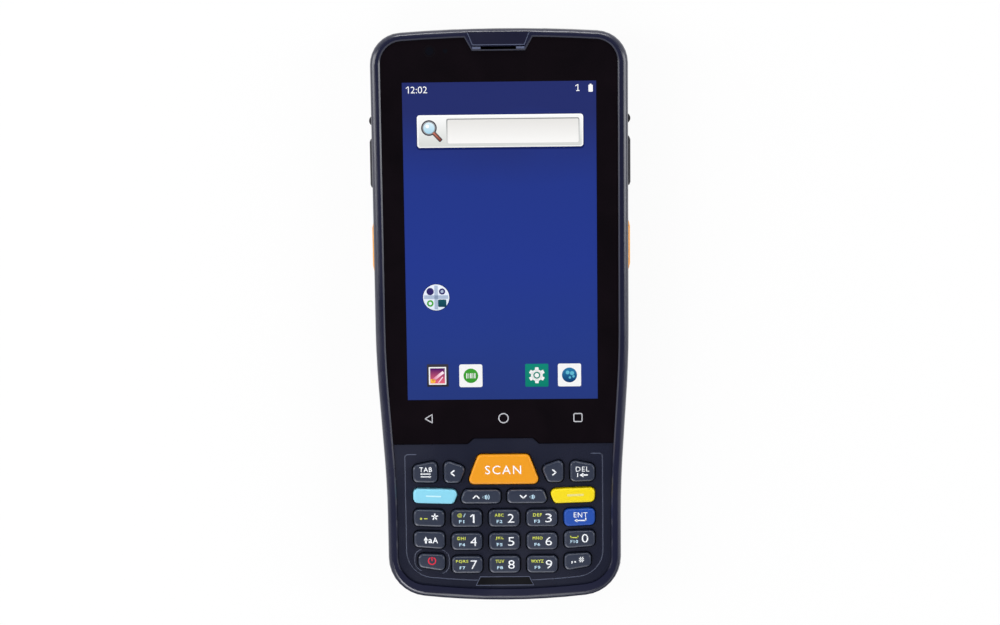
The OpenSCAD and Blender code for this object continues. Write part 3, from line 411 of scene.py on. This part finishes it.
def skinOf(name, newName, bevel=0.0, bevelFrom=30):
    source = nodes[name]
    source.hide_viewport = False
    takeUp(source)
    bpy.ops.object.duplicate()
    skin = bpy.context.object
    for key in list(skin.keys()):
        del skin[key]
    skin.parent = None
    openMesh(skin)
    bpy.ops.mesh.customdata_custom_splitnormals_clear()
    bpy.ops.mesh.remove_doubles(threshold=0.002 * mm)
    bpy.ops.mesh.dissolve_limited(angle_limit=radians(0.6))
    closeMesh()
    if bevel:
        soften = skin.modifiers.new("soft_edges", "BEVEL")
        soften.limit_method = "ANGLE"
        soften.angle_limit = radians(bevelFrom)
        soften.width = bevel * mm
        soften.segments = 2
        soften.use_clamp_overlap = False
        bpy.ops.object.modifier_apply(modifier=soften.name)
    settle(skin, newName, bodyOfNode[name])
    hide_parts(name)
    return skin


def smoothShade(piece, crease):
    takeUp(piece)
    bpy.ops.object.shade_smooth_by_angle(angle=radians(crease))
    flats = piece.modifiers.new("flat_faces_first", "WEIGHTED_NORMAL")
    flats.keep_sharp = True
    bpy.ops.object.modifier_apply(modifier=flats.name)


rim = {"chamfer": 0.4, "tabY": pictureY + 51.25, "tabX": 7.1, "tabSlope": 2.1 / 3.65}
frontShell = skinOf("front_housing", "front_shell")


def rimEdge(edge):  # inner edge of the rim's flat top, apart from its lower end, the pocket and the slot
    middle = (edge.verts[0].co + edge.verts[1].co) / 2 / mm
    if abs(middle.z - rimTop) > 0.01 or len(edge.link_faces) != 2:
        return False
    if middle.y < 0 and max(face.normal.y for face in edge.link_faces) > 0.5:
        return False
    lean = sorted(abs(face.normal.z) for face in edge.link_faces)
    tabX = rim["tabX"] + rim["tabSlope"] * (middle.y - rim["tabY"])
    pocket = middle.y > rim["tabY"] + 0.2 and abs(middle.x) < tabX - 0.3
    return lean[0] < 0.05 and lean[1] > 0.99 and not pocket


# The chamfer is real; it takes the lighter edge slate, a painted highlight for the light line along the rim's
# inner edge
shapeEdges(frontShell, rimEdge, lambda: bpy.ops.mesh.bevel(
    offset=rim["chamfer"] * mm, segments=1, profile=0.5, material=1, clamp_overlap=False))
frontShell.data.materials.append(finishes["edge"])
smoothShade(frontShell, 28)

rearShell = skinOf("rear_housing", "rear_shell")
smoothShade(rearShell, 28)

deckLine = 0.2  # depth of the fine line in the deck, in mm
deckSkin = skinOf("keypad_bezel", "keypad_deck")
# The floor of the deck's fine groove is painted lighter: a painted highlight, the light line the groove
# catches
paintFaces(deckSkin, finishes["deck_line"],
           lambda face: deckTop - deckLine - 0.01 < face.center.z / mm < deckTop - 0.01
           and abs(face.normal.z) > 0.9)
smoothShade(deckSkin, 28)

for name, line in {"top_plate": 0.2, "lower_plate": 0.18}.items():  # bare plates with a fine light border
    plate = skinOf(name, name.replace("_plate", "_bare_plate"))
    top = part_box(name)[1].z
    shapeEdges(plate, lambda edge: min(v.co.z for v in edge.verts) > top - 0.01 * mm,
               lambda: bpy.ops.mesh.inset(thickness=line * mm, use_even_offset=True))
    middle = max(plate.data.polygons, key=lambda face: face.area * face.normal.z).index
    # Beyond this y the border stays plain: the top plate's side at the rim's edge, and nothing on the other
    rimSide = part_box(name)[1].y - 0.15 * mm if name == "top_plate" else 1
    # The border is painted in the lighter edge slate: a painted highlight along the plate's edge
    paintFaces(plate, finishes["edge"],
               lambda face: face.normal.z > 0.99 and face.index != middle and face.center.y < rimSide)
    if name == "top_plate":
        paintFaces(plate, finishes["plate_face"], lambda face: face.index == middle)

softened = {  # new name, and how wide its edges are rounded, in mm
    "left_trigger": ("left_trigger_cap", 0.16), "right_trigger": ("right_trigger_cap", 0.16),
    "left_port_cover": ("left_cover_flap", 0.12), "right_port_cover": ("right_cover_flap", 0.12),
    "battery_door": ("battery_lid", 0.12), "door_latch": ("latch_slider", 0.06),
}
for name, (newName, width) in softened.items():
    smoothShade(skinOf(name, newName, bevel=width), 40)
for name in [n for n in nodes if n.startswith("key_")]:
    smoothShade(skinOf(name, name.replace("key_", "keycap_"), bevel=0.07, bevelFrom=24), 50)
print("housings, deck and keys softened")


# Flat marks: each is a shape on the surface at height z, drawn a little proud of it

def onCircle(x, y, reach, angle):  # the point at that distance from x, y, with the angle in degrees
    return x + reach * cos(radians(angle)), y + reach * sin(radians(angle))


ink = {"proud": 0.02, "bite": 0.01}  # mm above the surface and into it


def thicken(piece, z, material):
    depth = (ink["proud"] + ink["bite"]) * mm
    openMesh(piece)
    bpy.ops.mesh.extrude_region_move(TRANSFORM_OT_translate={"value": (0, 0, depth)})
    bpy.ops.mesh.select_all(action="SELECT")
    bpy.ops.mesh.normals_make_consistent(inside=False)
    closeMesh()
    piece.location.z = (z - ink["bite"]) * mm
    bpy.ops.object.transform_apply(location=True, rotation=True, scale=True)
    piece.data.materials.clear()
    piece.data.materials.append(material)
    return piece


def lettering(words, x, y, z, width, height, material, weight=0.0, spread=1.0):
    # The words fill a box of that width and height round x, y
    deselectAll()
    bpy.ops.object.text_add()
    text = bpy.context.object
    text.data.body = words
    text.data.size = height / 0.7 * mm  # capitals are about 0.7 of the size
    text.data.offset = weight * mm
    text.data.space_character = spread
    text.data.resolution_u = 3
    bpy.ops.object.convert(target="MESH")
    mark = bpy.context.object
    openMesh(mark)
    bpy.ops.mesh.remove_doubles(threshold=0.001 * mm)
    closeMesh()
    for axis, (place, length) in enumerate(((x, width), (y, height))):
        reach = [corner.co[axis] for corner in mark.data.vertices]
        mark.scale[axis] = length * mm / (max(reach) - min(reach))
        mark.location[axis] = place * mm - mark.scale[axis] * (max(reach) + min(reach)) / 2
    return thicken(mark, z, material)


def disc(x, y, z, r, material, corners=32, turn=0.0):
    deselectAll()
    bpy.ops.mesh.primitive_circle_add(vertices=corners, radius=r * mm, fill_type="NGON",
                                      location=(x * mm, y * mm, 0), rotation=(0, 0, radians(turn)))
    return thicken(bpy.context.object, z, material)


def outlined(form, z, width, material):  # keeps only a line of that width along the edge of a flat shape
    openMesh(form)
    bpy.ops.mesh.inset(thickness=width * mm, use_even_offset=True)
    bpy.ops.mesh.delete(type="FACE")
    closeMesh()
    return thicken(form, z, material)


def ring(x, y, z, r, width, material, gap=None):
    deselectAll()
    bpy.ops.mesh.primitive_circle_add(vertices=40, radius=r * mm, fill_type="NGON",
                                      location=(x * mm, y * mm, 0))
    form = bpy.context.object
    openMesh(form)
    bpy.ops.mesh.inset(thickness=width * mm)
    bpy.ops.mesh.delete(type="FACE")
    if gap:  # an opening, given by its middle and half its angle in degrees
        bpy.ops.mesh.select_mode(type="FACE")
        ringMesh = bmesh.from_edit_mesh(form.data)
        for face in ringMesh.faces:
            c = face.calc_center_median()
            off = (atan2(c.y, c.x) - radians(gap[0]) + pi) % (2 * pi) - pi
            face.select = abs(off) < radians(gap[1])
        bmesh.update_edit_mesh(form.data)
        bpy.ops.mesh.delete(type="FACE")
    closeMesh()
    return thicken(form, z, material)


def blankPlate(x, y, length, width, corner=0.0, turn=0.0):
    deselectAll()
    bpy.ops.mesh.primitive_plane_add(size=1, location=(x * mm, y * mm, 0), rotation=(0, 0, radians(turn)))
    form = bpy.context.object
    form.scale = (length * mm, width * mm, 1)
    bpy.ops.object.transform_apply(location=False, rotation=False, scale=True)
    if corner:
        openMesh(form)
        bpy.ops.mesh.bevel(offset=corner * mm, segments=6, affect="VERTICES")
        closeMesh()
    return form


def bar(x, y, z, length, width, material, turn=0.0, corner=0.0):
    return thicken(blankPlate(x, y, length, width, corner, turn), z, material)


def arrowHead(x, y, z, r, material, turn):
    return disc(x, y, z, r, material, 3, turn - 90)


def digitOne(x, y, z, height, material, weight=0.2):
    # A stem with a flag; weight is the stroke's share of the height
    return [bar(x + 0.12 * height, y, z, weight * height, height, material),
            bar(x - 0.09 * height, y + 0.36 * height, z, 0.44 * height, 0.8 * weight * height, material, 38)]


# Display: the picture, its marks and the touch keys under it, in mm from the picture's middle

screen = {"x": 25.92, "y": 43.2, "dark": 0.2}  # half sizes, and the unlit line at the top
layer = [glassTop + ink["proud"] * (i + 1) for i in range(7)]  # marks are laid over each other


def litMark(name, low, high, start, length, along=1):
    # Two colours with a blend between them, from start on, which runs along y, or along x where along is 0
    return litPicture(name + "_picture", {"start": start, "length": length, "cloud": 6, "drift": 0.05,
                                          "along": along, "bands": [(0.0, low), (1.0, high)]})


def onPicture(parts, name):
    mark = joined(parts)
    mark.location.y = pictureY * mm
    return settle(mark, name, "terminal")


blue = litPicture("blue_picture", {
    "start": (0, -screen["y"]), "length": 2 * screen["y"], "cloud": 30, "drift": 0.16,
    "bands": [(0.0, "#273876"), (1.0, "#262f69"), (0.25, "#263a84"), (0.5, "#25388a"), (0.78, "#253786")]})
lit = {
    "white": litMark("white", "#f0f0f0", "#ffffff", (0, 25), 10),
    "frame": litMark("frame", "#cfd2ce", "#f4f4f3", (0, 25.5), 8),
    "field": litMark("field", "#f6f5f3", "#e2e0dd", (0, 26.6), 6.8),
    "shade": litMark("shade", "#d8d8d8", "#8f9192", (0, 26.2), 7.4),
    "night": litMark("night", "#14205a", "#1a2760", (0, 25), 10),
    "steel": litMark("steel", "#9fb0c8", "#b2c0d6", (0, -20), 10),
    "grey": litMark("grey", "#8b8d90", "#a4a6a9", (0, 28), 6),
    "dark": litMark("dark", "#2c2a32", "#3c3a44", (0, -40), 8),
    "sunset": litMark("sunset", "#e2647a", "#4a1660", (-19.4, -38.4), 3.9),
    "pink": litMark("pink", "#d8508c", "#fbe6ee", (-19.2, -38.9), 3, 0),
    "amber": litMark("amber", "#f6a832", "#f8c84c", (0, -38.9), 1.2),
    "green": litMark("green", "#36902f", "#46a238", (0, -40), 8),
    "teal": litMark("teal", "#0f7d6a", "#148774", (0, -40), 8),
    "pine": litMark("pine", "#123c50", "#1f5660", (0, -18), 3),
    "ocean": litMark("ocean", "#0f2f63", "#2a77a6", (0, -38.7), 4.2),
    "land": litMark("land", "#4ba5c4", "#70c4d6", (0, -40), 8),
    "lens": litMark("lens", "#98cce4", "#e4f3fa", (0, 29), 4),
    "handle": litMark("handle", "#6e2c24", "#c47a68", (0, 27), 3),
    "violet": litMark("violet", "#241f58", "#372f6e", (0, -18), 8),
    "pale": litMark("pale", "#dde6f4", "#eef2fb", (0, -18), 8),
}

deselectAll()
bpy.ops.mesh.primitive_grid_add(x_subdivisions=6, y_subdivisions=10, size=1)
panel = bpy.context.object
panel.scale = (2 * screen["x"] * mm, (2 * screen["y"] - screen["dark"]) * mm, 1)
panel.location.y = -screen["dark"] / 2 * mm
onPicture([thicken(panel, glassTop, blue)], "display_picture")

statusBar = digitOne(-24.4, 41.05, layer[0], 1.8, lit["white"], 0.13)
statusBar += [lettering("2:02", -21.4, 41.05, layer[0], 4.4, 1.8, lit["white"], -0.01)]
statusBar += digitOne(20.85, 41.2, layer[0], 1.8, lit["white"], 0.13)
statusBar += [bar(21.05, 40.4, layer[0], 0.9, 0.2, lit["white"]),
              bar(24.45, 41.0, layer[0], 1.15, 1.85, lit["white"], 0, 0.15),
              bar(24.45, 42.02, layer[0], 0.5, 0.3, lit["white"])]
onPicture(statusBar, "status_marks")

magnifier = {"x": -18.87, "y": 30.88, "gripX": -16.75, "gripY": 28.6}
searchBox = [bar(0.2, 29.7, layer[0], 45.0, 9.4, lit["night"], 0, 0.9),
             bar(0.17, 29.94, layer[1], 44.5, 8.7, lit["white"], 0, 0.75),
             bar(0.17, 29.87, layer[2], 43.7, 8.0, lit["frame"], 0, 0.5),
             bar(3.6, 29.95, layer[3], 35.6, 6.75, lit["shade"], 0, 0.5),
             bar(3.65, 29.85, layer[4], 35.1, 6.35, lit["field"], 0, 0.4),
             bar(magnifier["gripX"], magnifier["gripY"], layer[3], 3.4, 1.1, lit["dark"], -47, 0.3),
             bar(magnifier["gripX"], magnifier["gripY"], layer[4], 2.9, 0.56, lit["handle"], -47, 0.2),
             disc(magnifier["x"], magnifier["y"], layer[3], 2.1, lit["dark"]),
             disc(magnifier["x"], magnifier["y"], layer[4], 1.78, lit["grey"]),
             disc(magnifier["x"], magnifier["y"], layer[5], 1.5, lit["lens"]),
             disc(-19.3, 31.3, layer[6], 0.5, lit["white"], 20)]
onPicture(searchBox, "search_box")

wheel = {"x": -17.7, "y": -14.95, "r": 3.55, "reach": 2.3}
spots = [("violet", 135, 2, 1.0), ("violet", 45, 2, 0.85), ("green", 225, 2, 0.9),
         ("steel", 45, 3, 0.42), ("pale", 225, 3, 0.45)]  # colour, angle, layer and radius
parts = [disc(wheel["x"], wheel["y"], layer[0], wheel["r"] + 0.16, lit["night"], 48),
         disc(wheel["x"], wheel["y"], layer[1], wheel["r"], lit["pale"], 48),
         bar(wheel["x"], wheel["y"] + 0.1, layer[2], 6.5, 1.0, lit["steel"]),
         bar(wheel["x"], wheel["y"], layer[2], 0.95, 6.5, lit["steel"]),
         bar(wheel["x"] + 1.62, wheel["y"] - 1.6, layer[2], 2.25, 2.05, lit["pine"], 0, 0.35)]
parts += [disc(*onCircle(wheel["x"], wheel["y"], wheel["reach"], angle), layer[i], r, lit[mark], 24)
          for mark, angle, i, r in spots]
onPicture(parts, "round_app_mark")

# The row of square marks: its height, their side and where each one stands
row = {"y": -36.6, "side": 6.3, "picture": -17.7, "stripes": -8.6, "cog": 9.38, "globe": 18.27}
picture = [bar(row["picture"] + 0.08, row["y"] + 0.15, layer[0], 5.85, 6.25, lit["dark"], 0, 0.2),
           bar(row["picture"], row["y"] + 0.05, layer[1], 4.75, 4.9, lit["white"], 0, 0.1),
           bar(row["picture"], row["y"] + 0.05, layer[2], 4.0, 4.2, lit["sunset"]),
           bar(row["picture"] - 1.25, row["y"] - 1.35, layer[3], 1.3, 1.1, lit["amber"], 0, 0.3),
           bar(row["picture"] + 0.1, row["y"] - 0.1, layer[3], 3.9, 0.75, lit["pink"], 38),
           bar(row["picture"] + 0.8, row["y"] - 1.1, layer[3], 2.0, 0.3, lit["pink"], 52)]
stripes = [bar(row["stripes"], row["y"], layer[0], row["side"], row["side"], lit["white"], 0, 0.55),
           disc(row["stripes"], row["y"], layer[1], 2.0, lit["green"], 40)]
stripes += [bar(row["stripes"] - 1.1 + 0.55 * i, row["y"], layer[2], width, 1.4, lit["white"])
            for i, width in enumerate((0.3, 0.16, 0.36, 0.2, 0.3))]
cog = [bar(row["cog"], row["y"], layer[0], row["side"], row["side"], lit["teal"], 0, 0.3),
       disc(row["cog"], row["y"], layer[1], 1.6, lit["white"], 32),
       disc(row["cog"], row["y"], layer[2], 0.95, lit["teal"], 32),
       disc(row["cog"], row["y"], layer[3], 0.6, lit["white"], 32)]
cog += [bar(*onCircle(row["cog"], row["y"], 1.55, angle), layer[1], 1.3, 1.0, lit["white"], angle, 0.2)
        for angle in range(30, 390, 60)]
globe = [bar(row["globe"], row["y"], layer[0], row["side"], row["side"], lit["white"], 0, 0.45),
         disc(row["globe"], row["y"], layer[1], 2.05, lit["ocean"], 40)]
lands = [(-0.5, 0.7, 0.55, 10), (0.7, 0.5, 0.6, 50), (0.1, -0.7, 0.35, 0), (1.1, -0.4, 0.35, 25)]
globe += [disc(row["globe"] + x, row["y"] + y, layer[2], r, lit["land"], 7, turn) for x, y, r, turn in lands]
onPicture(picture + stripes + cog + globe, "app_marks")

touch = {"y": -48.45, "line": 0.27, "back": -20.0, "home": 0.16, "tasks": 20.5}
deselectAll()
bpy.ops.mesh.primitive_circle_add(vertices=3, radius=1.62 * mm, fill_type="NGON",
                                  location=(touch["back"] * mm, touch["y"] * mm, 0),
                                  rotation=(0, 0, radians(90)))
back = bpy.context.object
bpy.ops.object.transform_apply(location=False, rotation=True, scale=False)
back.scale.x = 0.95
openMesh(back)
bpy.ops.mesh.bevel(offset=0.3 * mm, segments=4, affect="VERTICES")
closeMesh()
touchKeys = [outlined(back, glassTop, touch["line"], inks["grey"]),
             ring(touch["home"], touch["y"], glassTop, 1.42, touch["line"], inks["grey"]),
             outlined(blankPlate(touch["tasks"], touch["y"], 2.5, 2.5, 0.5), glassTop, touch["line"],
                      inks["grey"])]
onPicture(touchKeys, "touch_key_marks")
sensor = {"y": 51.3, "camera": -18.4, "light": -14.2}
sensors = [disc(sensor["camera"], sensor["y"], glassTop, 1.1, finishes["display"], 32),
           ring(sensor["camera"], sensor["y"], glassTop, 1.5, 0.12, finishes["black_plate"]),
           disc(sensor["light"], sensor["y"], glassTop, 0.6, finishes["display"], 24)]
onPicture(sensors, "sensor_windows")
# Two lighter bars on the tab's feet beside the slot: painted highlights in the edge slate
tabHighlightBars = [bar(side * 5.85, 52.0, rimTop, 2.2, 0.6, finishes["edge"], 0, 0.12) for side in (-1, 1)]
onPicture(tabHighlightBars, "tab_side_bars")
print("display and its marks made")


# Legends of the keys, in mm from the middle of each key's box, and each rides on its own key

letters = {  # word, its place across the key and its width
    "2": ("ABC", -1.33, 2.5), "3": ("DEF", -1.18, 2.5), "4": ("GHI", -1.52, 2.35), "5": ("JKL", -1.3, 2.25),
    "6": ("MNO", -1.18, 2.75), "7": ("PQRS", -1.38, 3.45), "8": ("TUV", -1.3, 2.4), "9": ("WXYZ", -1.35, 3.5),
}


def speakerMark(x, y, waves):
    ice = inks["ice"]
    parts = [bar(x - 0.62, y, keyTop, 0.42, 0.62, ice), arrowHead(x - 0.3, y, keyTop, 0.82, ice, 180)]
    return parts + [ring(x - 0.1, y, keyTop, 0.62 + 0.4 * i, 0.2, ice, (180, 135)) for i in range(waves)]


def chevron(x, y, direction):  # two strokes that meet in a point to the left, right, top or bottom
    white = inks["white"]
    if direction in ("left", "right"):
        side = -1 if direction == "left" else 1
        return [bar(x, y + 0.38 * s, keyTop, 1.3, 0.36, white, -38 * s * side) for s in (-1, 1)]
    side = 1 if direction == "up" else -1
    return [bar(x + 0.4 * s, y, keyTop, 1.35, 0.34, white, -45 * s * side) for s in (-1, 1)]


def legendsOf(key):
    low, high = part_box("key_" + key)
    x, y = (low.x + high.x) / 2 / mm, (low.y + high.y) / 2 / mm
    white = inks["white"]
    if key == "1":
        return digitOne(x + 1.7, y + 0.1, keyTop, 2.42, white, 0.175) + [
            lettering("@", x - 1.83, y + 1.03, keyTop, 1.3, 1.2, inks["green"], 0.02),
            bar(x - 0.55, y + 1.05, keyTop, 1.1, 0.2, inks["ice"], 65),
            lettering("F1", x - 1.35, y - 0.75, keyTop, 1.45, 0.88, inks["ice"], 0.04, 1.2)]
    if key in letters:
        word, across, width = letters[key]
        return [lettering(key, x + 1.88, y + 0.13, keyTop, 1.78, 2.42, white, -0.015),
                lettering(word, x + across, y + 1.04, keyTop, width, 0.9, inks["green"], 0.04, 1.2),
                lettering("F" + key, x - 1.28, y - 0.75, keyTop, 1.6, 0.88, inks["ice"], 0.04, 1.2)]
    if key == "0":
        return [lettering("0", x + 1.5, y + 0.38, keyTop, 1.8, 2.4, white, -0.015),
                lettering("F10", x - 1.46, y - 0.52, keyTop, 2.1, 0.88, inks["ice"], 0.04, 1.15),
                bar(x - 1.45, y + 0.62, keyTop, 2.2, 0.28, inks["green"], 0, 0.1),
                bar(x - 2.42, y + 0.82, keyTop, 0.28, 0.6, inks["green"], 12),
                bar(x - 0.48, y + 0.82, keyTop, 0.28, 0.6, inks["green"], -12)]
    if key == "star":
        arms = [bar(*onCircle(x + 1.64, y + 0.52, 0.47, angle), keyTop, 0.95, 0.34, white, angle)
                for angle in (90, 162, 234, 306, 18)]
        return arms + [disc(x - 2.14, y, keyTop, 0.3, inks["green"], 20),
                       bar(x - 0.86, y, keyTop, 0.95, 0.28, inks["green"])]
    if key == "hash":
        cross = [bar(x + 1.02 + 0.28 * s, y + 0.62, keyTop, 0.27, 1.5, white, -4) for s in (-1, 1)]
        cross += [bar(x + 1.02, y + 0.62 + 0.26 * s, keyTop, 1.35, 0.26, white) for s in (-1, 1)]
        return cross + [lettering(",", x - 1.56, y - 0.2, keyTop, 0.42, 0.75, white, 0.02),
                        disc(x - 0.71, y - 0.03, keyTop, 0.24, white, 16)]
    if key == "shift":
        return [arrowHead(x - 0.95, y + 0.45, keyTop, 0.72, white, 90),
                bar(x - 0.95, y - 0.25, keyTop, 0.5, 1.0, white),
                lettering("a", x + 0.3, y - 0.1, keyTop, 1.05, 1.2, white, 0.03),
                lettering("A", x + 1.66, y + 0.1, keyTop, 1.5, 1.65, white, 0.03)]
    if key == "power":
        return [ring(x + 0.11, y + 0.5, keyTop, 1.16, 0.34, inks["red"], (90, 26)),
                bar(x + 0.11, y + 1.05, keyTop, 0.34, 1.15, inks["red"])]
    if key == "enter":
        return [lettering("ENT", x + 0.33, y + 0.8, keyTop, 3.75, 1.4, white, 0.0, 1.15),
                bar(x + 0.45, y - 0.78, keyTop, 2.7, 0.3, white),
                bar(x + 1.72, y - 0.48, keyTop, 0.3, 0.85, white),
                arrowHead(x - 0.85, y - 0.78, keyTop, 0.55, white, 180)]
    if key == "tab":
        return [lettering("TAB", x + 0.24, y + 0.92, keyTop, 3.5, 1.3, white, 0.02, 1.1),
                bar(x + 0.35, y - 0.3, keyTop, 2.5, 0.26, white),
                arrowHead(x - 0.9, y - 0.3, keyTop, 0.42, white, 180),
                bar(x + 0.1, y - 1.08, keyTop, 2.5, 0.26, white),
                arrowHead(x + 1.35, y - 1.08, keyTop, 0.42, white, 0)]
    if key == "delete":
        return [lettering("DEL", x + 0.07, y + 0.77, keyTop, 3.7, 1.35, white, 0.0, 1.15),
                bar(x + 0.79, y - 0.88, keyTop, 1.5, 0.36, white),
                arrowHead(x - 0.06, y - 0.88, keyTop, 0.72, white, 180),
                bar(x - 1.29, y - 0.88, keyTop, 0.3, 1.1, white)]
    if key in ("left", "right"):
        return chevron(x - 0.41 if key == "left" else x + 0.34, y - 0.08, key)
    if key == "up":
        return chevron(x - 1.27, y + 0.12, key) + speakerMark(x + 1.49, y, 2)
    if key == "down":
        return chevron(x - 1.0, y + 0.02, key) + speakerMark(x + 1.73, y, 1)
    if key == "cyan":
        return [bar(x - 0.42, y + 0.12, keyTop, 4.2, 0.4, inks["palecyan"], -2, 0.15)]
    if key == "yellow":
        return [bar(x + 0.75, y + 0.2, keyTop, 4.6, 0.6, inks["cream"], 2, 0.25)]
    return [lettering("SCAN", x - 0.1, y, keyTop, 9.87, 2.4, white, 0.0, 1.2)]


for name in [n for n in nodes if n.startswith("key_")]:
    marks = joined(legendsOf(name.replace("key_", "")))
    settle(marks, name.replace("key_", "legend_"), bodyOfNode[name])
print("legends made")
